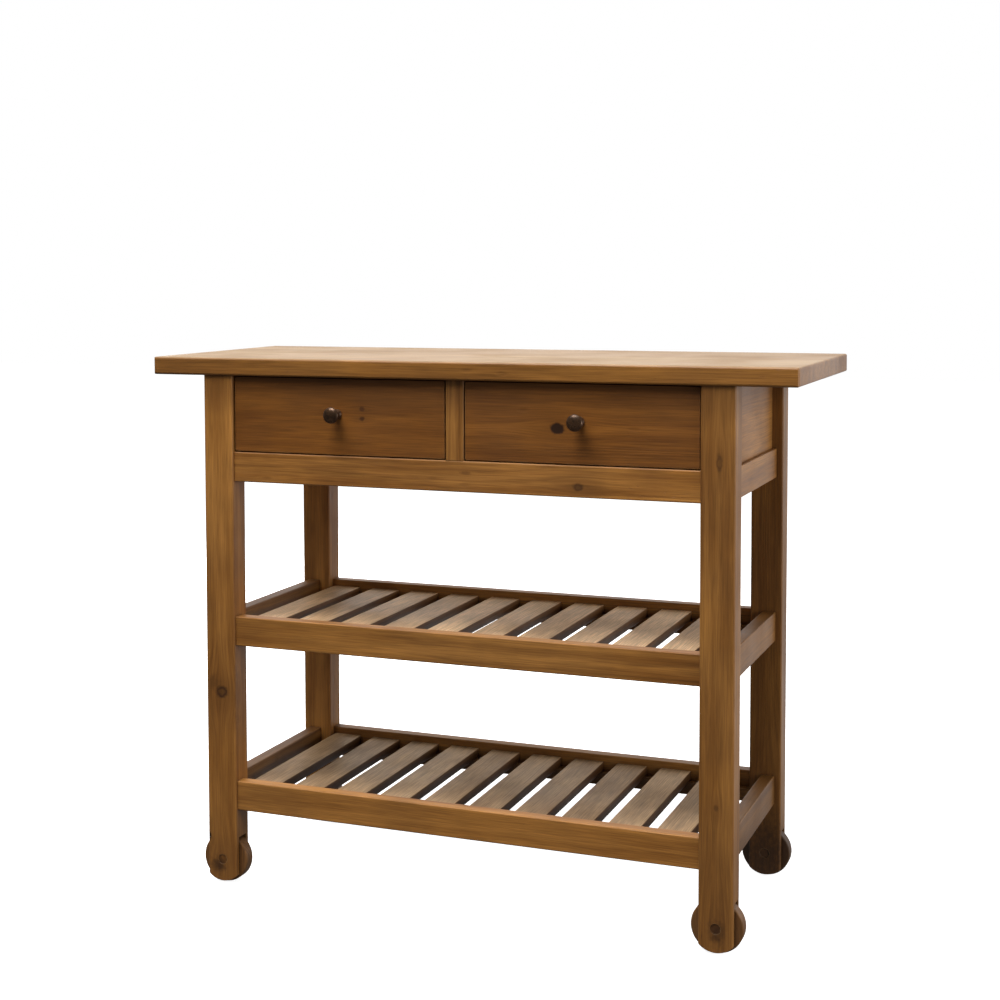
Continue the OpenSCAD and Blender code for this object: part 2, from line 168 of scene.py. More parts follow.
def make_boards():
    """Cuts a slab into glued boards, each with its own place in the figure and its own tone."""
    tree, w, given, result = shader_group(
        "glued boards",
        [("Position", "vector", None), ("Width", "value", 0.1), ("Seed", "value", 0.0)],
        [("Position", "vector"), ("Tone", "value"), ("Seam", "value")],
    )
    moved_along, moved_across, moved_down = 3.0, 0.09, 0.05
    seam_core, seam_rim = 0.0002, 0.0009
    x, y, z = w.parts(given["Position"])
    along = w.maths("DIVIDE", y, given["Width"])
    board = w.maths("FLOOR", along)
    inside = w.maths("SUBTRACT", w.maths("SUBTRACT", along, board), 0.5)
    chance = w.add(
        "ShaderNodeTexWhiteNoise",
        {"Vector": w.joined(board, given["Seed"], 0.0)},
        out="Color",
        noise_dimensions="3D",
    )
    first, second, third = w.parts(chance)
    shift = w.joined(
        w.maths("MULTIPLY_ADD", first, moved_along, x),
        w.maths(
            "ADD",
            w.maths("MULTIPLY", inside, given["Width"]),
            w.maths("MULTIPLY", w.maths("SUBTRACT", second, 0.5), moved_across),
        ),
        w.maths("MULTIPLY_ADD", third, moved_down, z),
    )
    w.put(result["Position"], shift)
    w.put(result["Tone"], third)
    from_edge = w.maths("SUBTRACT", 0.5, w.maths("ABSOLUTE", inside))
    from_edge = w.maths("MULTIPLY", from_edge, given["Width"])
    w.put(result["Seam"], w.step(from_edge, seam_core, seam_rim, 1.0, 0.0))
    return tree


def make_knot():
    """One knot: a dark core, a halo, and the figure pushed out round it."""
    tree, w, given, result = shader_group(
        "knot",
        [
            ("Position", "vector", None),
            ("Core", "value", 0.0),
            ("Halo", "value", 0.0),
            ("Centre", "vector", None),
            ("Size", "vector", (0.01, 0.01, 0.01)),
            ("Strength", "value", 1.0),
            ("Softness", "value", 0.0),
            ("Heart", "value", 0.0),
        ],
        [("Position", "vector"), ("Core", "value"), ("Halo", "value")],
    )
    # Reaches are shares of the knot's half size
    core_inside, core_outside = 0.72, 1.08
    heart_inside, heart_outside = 0.25, 0.8
    halo_inside, halo_outside = 0.6, 2.6
    push_reach, push_share = 3.6, -0.72
    halo_stretch = (0.42, 1.0, 1.0)
    wobble_scale, wobble, soft_wobble = 160.0, 0.5, 1.2
    away = w.vector("SUBTRACT", given["Position"], given["Centre"])
    reach = w.vector("LENGTH", w.vector("DIVIDE", away, given["Size"]), out="Value")
    ragged = w.noise(w.scaled(given["Position"], wobble_scale), detail=1.0)
    uneven = w.maths("MULTIPLY_ADD", given["Softness"], soft_wobble, wobble)
    reach = w.maths("MULTIPLY_ADD", w.maths("SUBTRACT", ragged, 0.5), uneven, reach)
    inner = w.maths("SUBTRACT", core_inside, given["Softness"])
    outer = w.maths("ADD", core_outside, given["Softness"])
    core = w.maths("MULTIPLY", w.step(reach, inner, outer, 1.0, 0.0), given["Strength"])
    heart = w.step(reach, heart_inside, heart_outside, 1.0, 0.0)
    heart = w.maths("MULTIPLY", heart, given["Heart"])
    core = w.maths("MULTIPLY", core, w.maths("SUBTRACT", 1.0, heart))
    stretched = w.vector("MULTIPLY", away, halo_stretch)
    far = w.vector("LENGTH", w.vector("DIVIDE", stretched, given["Size"]), out="Value")
    halo = w.step(far, halo_inside, halo_outside, 1.0, 0.0)
    halo = w.maths("MULTIPLY", halo, given["Strength"])
    push = w.maths("MULTIPLY", w.step(far, 0.0, push_reach, 1.0, 0.0), push_share)
    across = w.vector("MULTIPLY", away, ACROSS_GRAIN)
    moved = w.vector("ADD", given["Position"], w.scaled(across, push))
    w.put(result["Position"], moved)
    w.put(result["Core"], w.maths("MAXIMUM", given["Core"], core))
    w.put(result["Halo"], w.maths("MAXIMUM", given["Halo"], halo))
    return tree


def make_figure():
    """Growth rings round a wandering pith, with fibres and broad streaks, the grain along X."""
    tree, w, given, result = shader_group(
        "pine figure",
        [
            ("Position", "vector", None),
            ("Seed", "value", 0.0),
            ("Pith", "vector", (0.0, 0.06, 0.04)),
            ("Ring Gap", "value", 0.0042),
            ("Wander", "value", 0.010),
        ],
        [("Ring", "value"), ("Fibre", "value"), ("Streak", "value"), ("Tone", "value")],
    )
    # How fine each noise is: first along the grain, then across it both ways
    bends, clear_patches = (2.4, 10.0, 10.0), (1.3, 17.0, 17.0)
    fibres, streaks, patches = (16.0, 760.0, 760.0), (1.8, 62.0, 62.0), (3.2, 17.0, 17.0)
    ring_noise, ring_play = 90.0, 2.2
    late_start, late_peak = 0.10, 0.80
    seeded = w.vector(
        "ADD", given["Position"], w.scaled((7.31, 3.17, 1.93), given["Seed"])
    )
    drift = w.noise(w.vector("MULTIPLY", seeded, bends), detail=2.0, out="Color")
    drift = w.scaled(
        w.vector("SUBTRACT", drift, (0.5, 0.5, 0.5)), w.maths("MULTIPLY", given["Wander"], 2.0)
    )
    offset = w.vector("ADD", w.vector("SUBTRACT", given["Position"], given["Pith"]), drift)
    radius = w.vector("LENGTH", w.vector("MULTIPLY", offset, ACROSS_GRAIN), out="Value")
    uneven = w.noise(
        w.joined(w.maths("MULTIPLY", radius, ring_noise), given["Seed"], 0.0), detail=1.0
    )
    turns = w.maths("DIVIDE", radius, given["Ring Gap"])
    turns = w.maths("ADD", turns, w.maths("MULTIPLY", uneven, ring_play))
    ring = w.maths("FLOOR", turns)
    phase = w.maths("SUBTRACT", turns, ring)
    chance = w.add(
        "ShaderNodeTexWhiteNoise",
        {"W": w.maths("ADD", ring, given["Seed"])},
        noise_dimensions="1D",
    )
    late = w.maths(
        "MULTIPLY", w.step(phase, late_start, late_peak), w.step(phase, late_peak, 1.0, 1.0, 0.0)
    )
    clear = w.noise(w.vector("MULTIPLY", seeded, clear_patches), detail=2.0)
    faint = 0.2
    depth = w.maths(
        "MULTIPLY", w.step(chance, 0.0, 1.0, faint, 1.0), w.step(clear, 0.35, 0.68, faint, 1.0)
    )
    w.put(result["Ring"], w.maths("MULTIPLY", late, depth))
    fibre = w.noise(w.vector("MULTIPLY", seeded, fibres), detail=3.0, roughness=0.6)
    w.put(result["Fibre"], fibre)
    streak = w.noise(w.vector("MULTIPLY", seeded, streaks), detail=3.0, roughness=0.55)
    w.put(result["Streak"], w.step(streak, 0.31, 0.69))
    tone = w.noise(w.vector("MULTIPLY", seeded, patches), detail=3.0, roughness=0.5)
    w.put(result["Tone"], w.step(tone, 0.3, 0.7))
    return tree


# Height of the worktop's underside
UNDER_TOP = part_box("tabletop")[0].z


def make_edges():
    """Masks of rubbed edges, dirt and painted shade in corners, pale upward faces that are partly
    scrubbed and partly painted light, and painted shadow under the overhang.
    """
    tree, w, given, result = shader_group(
        "edges and corners",
        [
            ("Position", "vector", None),
            ("On Table", "vector", None),
            ("Edge Width", "value", 0.0025),
            ("Corner Depth", "value", 0.012),
        ],
        [
            ("Rubbed", "value"),
            ("Dirt And Painted Shade", "value"),
            ("Upward", "value"),
            ("Painted Shadow Under Top", "value"),
            ("Rounded", "vector"),
        ],
    )
    shaded_round = 0.0016
    # Painted shadow under the worktop's overhang: full from 20 mm below its underside up to it, gone
    # by 75 mm below
    shadow_ends, shadow_full, shadow_strength = 0.075, 0.02, 0.36
    smooth = w.add("ShaderNodeBevel", {"Radius": given["Edge Width"]}, samples=4)
    w.put(result["Rounded"], w.add("ShaderNodeBevel", {"Radius": shaded_round}, samples=6))
    face = w.add("ShaderNodeNewGeometry", out="Normal")
    turn = w.maths("SUBTRACT", 1.0, w.vector("DOT_PRODUCT", smooth, face, out="Value"))
    patchy = w.noise(w.scaled(given["Position"], 38.0), detail=3.0, roughness=0.65)
    open_air = w.add(
        "ShaderNodeAmbientOcclusion",
        {"Distance": given["Corner Depth"]},
        out="AO",
        samples=6,
    )
    rubbed = w.maths("MULTIPLY", w.step(turn, 0.01, 0.16), w.step(patchy, 0.3, 0.62))
    w.put(result["Rubbed"], w.maths("MULTIPLY", rubbed, w.step(open_air, 0.55, 0.9)))
    # Dark where little open air reaches: dirt in joints and corners, and painted shade from the
    # occlusion
    w.put(result["Dirt And Painted Shade"], w.step(open_air, 0.25, 0.85, 1.0, 0.0))
    blotches = w.vector("MULTIPLY", given["Position"], (5.0, 14.0, 14.0))
    blotchy = w.noise(blotches, detail=4.0, roughness=0.6)
    # Faces turned up, for paler paint: partly scrubbed wood, partly painted light from above
    upward = w.step(w.parts(face)[2], 0.5, 0.95)
    w.put(result["Upward"], w.maths("MULTIPLY", upward, w.step(blotchy, 0.3, 0.68, 0.55, 1.0)))
    height = w.parts(given["On Table"])[2]
    below_top = w.step(height, UNDER_TOP - shadow_ends, UNDER_TOP - shadow_full, 0.0, shadow_strength)
    sheltered = w.step(height, UNDER_TOP, UNDER_TOP + 0.002, 1.0, 0.0)
    w.put(result["Painted Shadow Under Top"], w.maths("MULTIPLY", below_top, sheltered))
    return tree


def make_wear():
    """Scratches, dents and dull patches of long use."""
    tree, w, given, result = shader_group(
        "years of use",
        [("Position", "vector", None), ("Seed", "value", 0.0)],
        [("Dents", "value"), ("Scratches", "value"), ("Dull", "value")],
    )
    seeded = w.vector("ADD", given["Position"], w.scaled((1.7, 5.3, 2.9), given["Seed"]))
    long = w.vector("MULTIPLY", seeded, (0.4, 1.0, 1.0))
    dents = {"Vector": long, "Scale": 42.0}
    cells = w.add("ShaderNodeTexVoronoi", dents, out="Distance")
    chance = w.add("ShaderNodeTexVoronoi", dents, out="Color")
    chosen = w.step(w.parts(chance)[0], 0.80, 0.86)
    w.put(result["Dents"], w.maths("MULTIPLY", w.step(cells, 0.05, 0.22, 1.0, 0.0), chosen))
    bent = w.vector(
        "ADD", seeded, w.scaled(w.noise(w.scaled(seeded, 9.0), detail=1.0, out="Color"), 0.05)
    )
    lines = w.noise(w.vector("MULTIPLY", bent, (55.0, 900.0, 620.0)), detail=1.0)
    where = w.noise(w.scaled(seeded, 13.0), detail=2.0)
    w.put(
        result["Scratches"],
        w.maths("MULTIPLY", w.step(lines, 0.70, 0.76), w.step(where, 0.5, 0.68)),
    )
    dull = w.noise(w.scaled(seeded, 6.0), detail=3.0, roughness=0.6)
    w.put(result["Dull"], w.step(dull, 0.35, 0.7))
    return tree


def make_waxed():
    """Turns the figure, knots, wear and painted light and shade into the colour, roughness and
    height of waxed timber.
    """
    tree, w, given, result = shader_group(
        "waxed timber",
        [
            ("Ring", "value", 0.0),
            ("Fibre", "value", 0.5),
            ("Streak", "value", 0.5),
            ("Tone", "value", 0.5),
            ("Core", "value", 0.0),
            ("Halo", "value", 0.0),
            ("Rubbed", "value", 0.0),
            ("Dirt And Painted Shade", "value", 0.0),
            ("Dents", "value", 0.0),
            ("Scratches", "value", 0.0),
            ("Dull", "value", 0.5),
            ("Upward", "value", 0.0),
            ("Painted Shadow Under Top", "value", 0.0),
            ("Light Wood", "colour", (0.3, 0.15, 0.05, 1.0)),
            ("Dark Wood", "colour", (0.15, 0.07, 0.02, 1.0)),
            ("Ring Colour", "colour", (0.08, 0.03, 0.01, 1.0)),
            ("Knot Colour", "colour", (0.03, 0.012, 0.005, 1.0)),
            ("Rubbed Colour", "colour", (0.4, 0.25, 0.12, 1.0)),
            ("Pale Upward Colour", "colour", (0.5, 0.4, 0.3, 1.0)),
            ("Pale Upward Share", "value", 0.0),
            ("Ring Depth", "value", 0.5),
            ("Fibre Contrast", "value", 0.16),
            ("Dirt And Shade Share", "value", 0.6),
            ("Gloss", "value", 0.45),
        ],
        [("Colour", "colour"), ("Roughness", "value"), ("Height", "value")],
    )
    streak_share, tone_share, least_dark = 0.42, 0.46, 0.06
    mixed = w.maths("MULTIPLY_ADD", given["Streak"], streak_share, least_dark)
    mixed = w.maths("MULTIPLY_ADD", given["Tone"], tone_share, mixed)
    colour = w.blend(mixed, given["Light Wood"], given["Dark Wood"])
    lines = w.maths("MULTIPLY", given["Ring"], given["Ring Depth"])
    colour = w.blend(lines, colour, given["Ring Colour"])
    # Upward faces painted pale: scrubbed wood and painted light from above
    pale_upward = w.maths("MULTIPLY", given["Upward"], given["Pale Upward Share"])
    colour = w.blend(pale_upward, colour, given["Pale Upward Colour"])
    rings_left = w.maths("MULTIPLY", w.maths("MULTIPLY", given["Ring"], pale_upward), 0.3)
    colour = w.blend(rings_left, colour, given["Light Wood"])
    pale = w.maths("MULTIPLY_ADD", given["Fibre Contrast"], 0.75, 1.0)
    dark = w.maths("SUBTRACT", 1.0, given["Fibre Contrast"])
    grainy = w.step(given["Fibre"], 0.25, 0.75, dark, pale)
    colour = w.blend(1.0, colour, w.joined(grainy, grainy, grainy), mode="MULTIPLY")
    # A smudge colour for dull patches, and for the painted shadow under the top
    smudge_and_shadow = w.blend(0.5, given["Knot Colour"], given["Ring Colour"])
    stains = (
        ("Dull", 0.22, smudge_and_shadow),
        ("Halo", 0.42, given["Ring Colour"]),
        ("Core", 0.97, given["Knot Colour"]),
        ("Rubbed", 0.45, given["Rubbed Colour"]),
        ("Scratches", 0.3, given["Knot Colour"]),
        ("Dents", 0.13, given["Knot Colour"]),
        # Dirt in joints and corners, and painted shade where the occlusion falls
        ("Dirt And Painted Shade", given["Dirt And Shade Share"], given["Knot Colour"]),
        # The painted shadow under the overhang, in the smudge colour
        ("Painted Shadow Under Top", 1.0, smudge_and_shadow),
    )
    for mask, share, stain in stains:
        colour = w.blend(w.maths("MULTIPLY", given[mask], share), colour, stain)
    w.put(result["Colour"], colour)
    rough = given["Gloss"]
    for mask, share in (("Dull", 0.10), ("Fibre", 0.08), ("Core", 0.05), ("Dirt And Painted Shade", 0.12)):
        rough = w.maths("MULTIPLY_ADD", given[mask], share, rough, clamp=True)
    w.put(result["Roughness"], rough)
    height = 0.0
    reliefs = (("Fibre", 0.35), ("Ring", 0.35), ("Core", -0.5), ("Dents", -1.0), ("Scratches", -0.6))
    for mask, share in reliefs:
        height = w.maths("MULTIPLY_ADD", given[mask], share, height)
    w.put(result["Height"], height)
    return tree


BOARDS = make_boards()
KNOT = make_knot()
FIGURE = make_figure()
EDGES = make_edges()
WEAR = make_wear()
WAXED = make_waxed()

# Turns that bring the grain, which runs along X in the figure, to an axis of the table
GRAIN = {
    "x": (0.0, 0.0, 0.0),
    "y": (0.0, 0.0, math.radians(90)),
    "z": (0.0, math.radians(-90), 0.0),
}


def into_grain(point, centre, grain):
    """A place on the table, seen from the piece's middle with its grain along X."""
    x, y, z = (a - b for a, b in zip(point, centre))
    return {"x": (x, y, z), "y": (y, -x, z), "z": (z, y, -x)}[grain]


HONEY = {
    "Light Wood": paint(190, 132, 64),
    "Dark Wood": paint(120, 73, 24),
    "Ring Colour": paint(94, 55, 17),
    "Knot Colour": paint(42, 20, 5),
    "Rubbed Colour": paint(190, 152, 104),
    "Pale Upward Colour": paint(196, 162, 118),
    "Pale Upward Share": 0.0,
    "Ring Depth": 0.5,
    "Fibre Contrast": 0.3,
    "Dirt And Shade Share": 0.45,
    "Gloss": 0.40,
}
FINISHES = {
    "honey": HONEY,
    "leg": dict(HONEY, **{"Ring Depth": 0.36, "Fibre Contrast": 0.28}),
    "drawer": dict(
        HONEY, **{"Light Wood": paint(160, 101, 38), "Dark Wood": paint(108, 62, 17)}
    ),
    "worktop": dict(
        HONEY,
        **{
            "Light Wood": paint(168, 114, 52),
            "Dark Wood": paint(108, 66, 24),
            # The worktop's upward face painted pale: scrubbed wood and painted light from above
            "Pale Upward Colour": paint(190, 160, 117),
            "Pale Upward Share": 0.68,
            "Ring Depth": 0.25,
            "Gloss": 0.32,
        },
    ),
    "slat": dict(
        HONEY,
        **{
            # Dark wood so that the slats' sides show as shaded, which is painted shade; their tops
            # take the pale upward colour, scrubbed wood and painted light
            "Light Wood": paint(116, 80, 44),
            "Dark Wood": paint(72, 46, 22),
            "Rubbed Colour": paint(190, 154, 110),
            "Pale Upward Colour": paint(230, 190, 142),
            "Pale Upward Share": 0.8,
            "Fibre Contrast": 0.42,
            "Gloss": 0.46,
        },
    ),
    "bare": {
        "Light Wood": paint(206, 176, 128),
        "Dark Wood": paint(184, 148, 98),
        "Ring Colour": paint(158, 112, 62),
        "Knot Colour": paint(84, 52, 28),
        "Rubbed Colour": paint(214, 190, 150),
        "Pale Upward Colour": paint(206, 180, 140),
        "Ring Depth": 0.5,
        "Dirt And Shade Share": 0.5,
        "Gloss": 0.6,
    },
    "wheel": dict(
        HONEY,
        **{
            "Light Wood": paint(150, 104, 56),
            "Dark Wood": paint(104, 68, 34),
            "Ring Colour": paint(78, 49, 25),
        },
    ),
}


def timber(
    name,
    finish,
    grain,
    centre,
    seed,
    pith,
    gap=0.0042,
    knots_and_shadow=(),
    boards=0.0,
    slats=False,
    tone_and_light=1.0,
    sheen=0.4,
):
    """A material for one piece: its grain runs along an axis, with its own rings and knots."""
    material = bpy.data.materials.new(name)
    material.use_nodes = True
    material.node_tree.nodes.clear()
    w = Wiring(material.node_tree)
    on_table = w.add("ShaderNodeTexCoord", out="Object")
    place = w.add(
        "ShaderNodeMapping",
        {"Vector": on_table, "Location": centre, "Rotation": GRAIN[grain]},
        vector_type="TEXTURE",
    )
    masks = {"Core": 0.0, "Halo": 0.0}
    figure_place = place
    tone_shift = None
    seam = None
    if boards:
        cut = place_group(w, BOARDS, {"Position": place, "Width": boards, "Seed": seed})
        figure_place, tone_shift, seam = cut["Position"], cut["Tone"], cut["Seam"]
    if slats:
        own = w.add("ShaderNodeAttribute", out="Fac", attribute_name="slat_seed")
        figure_place = w.vector("ADD", place, w.scaled((2.0, 0.11, 0.07), own))
        tone_shift = own
    # Knots, stains and the painted shadow on the back right foot, each laid as a knot
    for middle, size, strength, softness, heart in knots_and_shadow:
        made = place_group(
            w,
            KNOT,
            {
                "Position": figure_place,
                "Centre": into_grain(middle, centre, grain),
                "Size": size,
                "Strength": strength,
                "Softness": softness,
                "Heart": heart,
                **masks,
            },
        )
        figure_place = made["Position"]
        masks = {"Core": made["Core"], "Halo": made["Halo"]}
    figure = place_group(
        w,
        FIGURE,
        {"Position": figure_place, "Seed": seed, "Pith": pith, "Ring Gap": gap},
    )
    tone = figure["Tone"]
    if tone_shift is not None:
        own_share = w.maths("MULTIPLY", tone_shift, 0.5)
        tone = w.maths("MULTIPLY_ADD", tone, 0.55, own_share)
    edges = place_group(w, EDGES, {"Position": place, "On Table": on_table})
    wear = place_group(w, WEAR, {"Position": place, "Seed": seed})
    # Dirt and painted shade from the occlusion, with the board seams darkened as real joints
    dirt_and_shade = edges["Dirt And Painted Shade"]
    if seam is not None:
        dirt_and_shade = w.maths("MAXIMUM", dirt_and_shade, w.maths("MULTIPLY", seam, 0.6))
    values = dict(FINISHES[finish])
    if tone_shift is not None:
        spread = 0.26
        most = values["Pale Upward Share"] + spread / 2
        values["Pale Upward Share"] = w.maths("MULTIPLY_ADD", tone_shift, -spread, most)
    # The piece's own tone, with painted light and shade, scales its wood colours
    for wood in ("Light Wood", "Dark Wood", "Pale Upward Colour"):
        red, green, blue, alpha = values[wood]
        values[wood] = (red * tone_and_light, green * tone_and_light, blue * tone_and_light, alpha)
    values.update(masks)
    waxed = place_group(
        w,
        WAXED,
        {
            "Ring": figure["Ring"],
            "Fibre": figure["Fibre"],
            "Streak": figure["Streak"],
            "Tone": tone,
            "Rubbed": edges["Rubbed"],
            "Dirt And Painted Shade": dirt_and_shade,
            "Dents": wear["Dents"],
            "Scratches": wear["Scratches"],
            "Dull": wear["Dull"],
            "Upward": edges["Upward"],
            "Painted Shadow Under Top": edges["Painted Shadow Under Top"],
            **values,
        },
    )
    normal = w.add(
        "ShaderNodeBump",
        {
            "Height": waxed["Height"],
            "Strength": 0.6,
            "Distance": 0.0006,
            "Normal": edges["Rounded"],
        },
    )
    shader = w.add(
        "ShaderNodeBsdfPrincipled",
        {
            "Base Color": waxed["Colour"],
            "Roughness": waxed["Roughness"],
            "Normal": normal,
            "IOR": 1.5,
            "Specular IOR Level": sheen,
        },
    )
    w.add("ShaderNodeOutputMaterial", {"Surface": shader})
    return material


def metal(name, light, dark, roughness, mottle_scale, bump, metallic=1.0):
    """A metal with mottled colour and a cast or turned surface."""
    material = bpy.data.materials.new(name)
    material.use_nodes = True
    material.node_tree.nodes.clear()
    w = Wiring(material.node_tree)
    place = w.add("ShaderNodeTexCoord", out="Object")
    mottle = w.noise(w.scaled(place, mottle_scale), detail=4.0, roughness=0.65)
    share = w.step(mottle, 0.35, 0.65)
    colour = w.blend(share, dark, light)
    dull_rough, bright_rough = roughness + 0.1, roughness - 0.05
    rough = w.step(mottle, 0.3, 0.7, dull_rough, bright_rough)
    normal = w.add("ShaderNodeBump", {"Height": mottle, "Strength": bump, "Distance": 0.0004})
    shader = w.add(
        "ShaderNodeBsdfPrincipled",
        {"Base Color": colour, "Roughness": rough, "Normal": normal, "Metallic": metallic},
    )
    w.add("ShaderNodeOutputMaterial", {"Surface": shader})
    return material


def middle_of(node):
    low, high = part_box(node)
    return tuple((low + high) / 2)


def dress(node, material):
    nodes[node].data.materials.clear()
    nodes[node].data.materials.append(material)


# Knots, stains and a painted shadow as (place, half sizes with the grain first, strength, softness,
# pale heart)
FOOT_STAIN_LEFT = ((-0.4332, FRAME_Y - 0.2110, 0.0310), (0.0125, 0.0150, 0.0130), 0.8, 0.6, 0.0)
FOOT_STAIN_RIGHT = ((0.4266, FRAME_Y - 0.2110, 0.0354), (0.0170, 0.0150, 0.0110), 0.75, 0.6, 0.0)
# A painted shadow: the back right foot and its plug darkened where the lower shelf shades them, laid
# as a soft knot
PAINTED_SHADOW_BACK_FOOT = ((0.4250, FRAME_Y + 0.1670, 0.0340), (0.0620, 0.0450, 0.0400), 0.8, 0.6, 0.0)
KNOTS_STAINS_AND_SHADOW = {
    "drawer_left_front": [
        ((-0.1626, FRAME_Y - 0.2045, 0.8191), (0.0046, 0.0044, 0.0040), 0.62, 0.3, 0.0),
        ((-0.1621, FRAME_Y - 0.2045, 0.8038), (0.0048, 0.0044, 0.0040), 0.7, 0.3, 0.0),
    ],
    "drawer_right_front": [
        ((0.1709, FRAME_Y - 0.2045, 0.7980), (0.0130, 0.0150, 0.0092), 1.0, 0.05, 0.0),
    ],
    "apron_rail_front": [
        ((0.2052, FRAME_Y - 0.2060, 0.7073), (0.0090, 0.0100, 0.0064), 0.75, 0.2, 0.3),
        ((0.0182, FRAME_Y - 0.2060, 0.7220), (0.0100, 0.0060, 0.0030), 0.4, 0.3, 0.0),
    ],
    "leg_front_right": [
        ((0.4272, FRAME_Y - 0.2110, 0.7546), (0.0135, 0.0100, 0.0048), 0.6, 0.2, 0.6),
        ((0.4251, FRAME_Y - 0.2110, 0.2288), (0.0050, 0.0080, 0.0040), 0.4, 0.2, 0.0),
        FOOT_STAIN_RIGHT,
    ],
    "leg_front_left": [
        ((-0.4231, FRAME_Y - 0.2110, 0.3308), (0.0108, 0.0120, 0.0125), 0.9, 0.12, 0.5),
        ((-0.4330, FRAME_Y - 0.2110, 0.3460), (0.0140, 0.0110, 0.0060), 0.3, 0.5, 0.0),
        ((-0.4519, FRAME_Y - 0.2110, 0.0785), (0.0085, 0.0100, 0.0065), 1.0, 0.15, 0.0),
        FOOT_STAIN_LEFT,
    ],
    "leg_back_right": [PAINTED_SHADOW_BACK_FOOT],
    "axle_plugs": [FOOT_STAIN_LEFT, FOOT_STAIN_RIGHT, PAINTED_SHADOW_BACK_FOOT],
}

# How much lighter or darker than its finish a single piece is painted: partly its own tone, mostly
# painted light and shade for how brightly it is lit
TONES_AND_PAINTED_LIGHT = {
    "apron_rail_front": 1.25,
    "middle_rail_right": 0.70,
    "middle_rail_left": 0.6,
    "lower_rail_right": 0.5,
    "lower_rail_left": 0.55,
    "lower_rail_back": 0.85,
    "lower_rail_front": 1.15,
    "leg_front_left": 1.1,
    "leg_front_right": 0.93,
    "leg_back_left": 1.15,
    "leg_back_right": 0.74,
    "wheel_back_right": 0.42,
    "axle_plugs": 0.95,
    "middle_battens": 0.6,
    "lower_battens": 0.6,
}

LEVELS = ("apron", "middle", "lower")
LONG_RAILS = [f"{level}_rail_{end}" for level in LEVELS for end in ("front", "back")]
END_RAILS = [f"{level}_rail_{side}" for level in LEVELS for side in ("left", "right")]
LEGS = [f"leg_{end}_{side}" for end in ("front", "back") for side in ("left", "right")]
CORNERS = ["front_left", "front_right", "back_left", "back_right"]


def dress_timber():
    """Gives each wooden node its own board."""
    pieces = {}
    for node in LONG_RAILS:
        pieces[node] = ("honey", "x")
    for node in END_RAILS:
        pieces[node] = ("honey", "y")
    for node in LEGS:
        pieces[node] = ("leg", "z")
    for node in ("end_panel_left", "end_panel_right"):
        pieces[node] = ("honey", "y")
    pieces["back_panel"] = ("honey", "x")
    pieces["divider_stile"] = ("honey", "z")
    for level in ("middle", "lower"):
        pieces[f"{level}_battens"] = ("honey", "x")
    for side in ("left", "centre", "right"):
        pieces[f"runner_{side}"] = ("bare", "y")
        pieces[f"kicker_{side}"] = ("bare", "y")
    for side in ("left", "right"):
        drawer = f"drawer_{side}"
        pieces[f"{drawer}_front"] = ("drawer", "x")
        pieces[f"{drawer}_outer_side"] = ("bare", "y")
        pieces[f"{drawer}_inner_side"] = ("bare", "y")
        pieces[f"{drawer}_back"] = ("bare", "x")
        pieces[f"{drawer}_bottom"] = ("bare", "x")
    for corner in CORNERS:
        pieces[f"wheel_{corner}"] = ("wheel", "z")
    pieces["axle_plugs"] = ("leg", "z")
    for number, (node, (finish, grain)) in enumerate(pieces.items()):
        # The pith lies outside the board, now on one side of it, now on the other
        seed = 1.0 + 0.731 * number
        spread = 0.045 + 0.05 * ((number * 37) % 11) / 10
        depth = 0.03 + 0.06 * ((number * 53) % 7) / 6
        ring_gap = 0.0036 + 0.0016 * ((number * 29) % 5) / 4
        if number % 2:
            spread = -spread
        material = timber(
            f"{finish} pine of {node}",
            finish,
            grain,
            middle_of(node),
            seed,
            pith=(0.0, spread, depth),
            gap=ring_gap,
            knots_and_shadow=KNOTS_STAINS_AND_SHADOW.get(node, ()),
            tone_and_light=TONES_AND_PAINTED_LIGHT.get(node, 1.0),
        )
        dress(node, material)
    dress(
        "tabletop",
        timber(
            "pale waxed pine of the top",
            "worktop",
            "x",
            middle_of("tabletop"),
            0.37,
            pith=(0.0, 0.0, -0.05),
            boards=0.108,
        ),
    )


# Slats, laid by a geometry tree


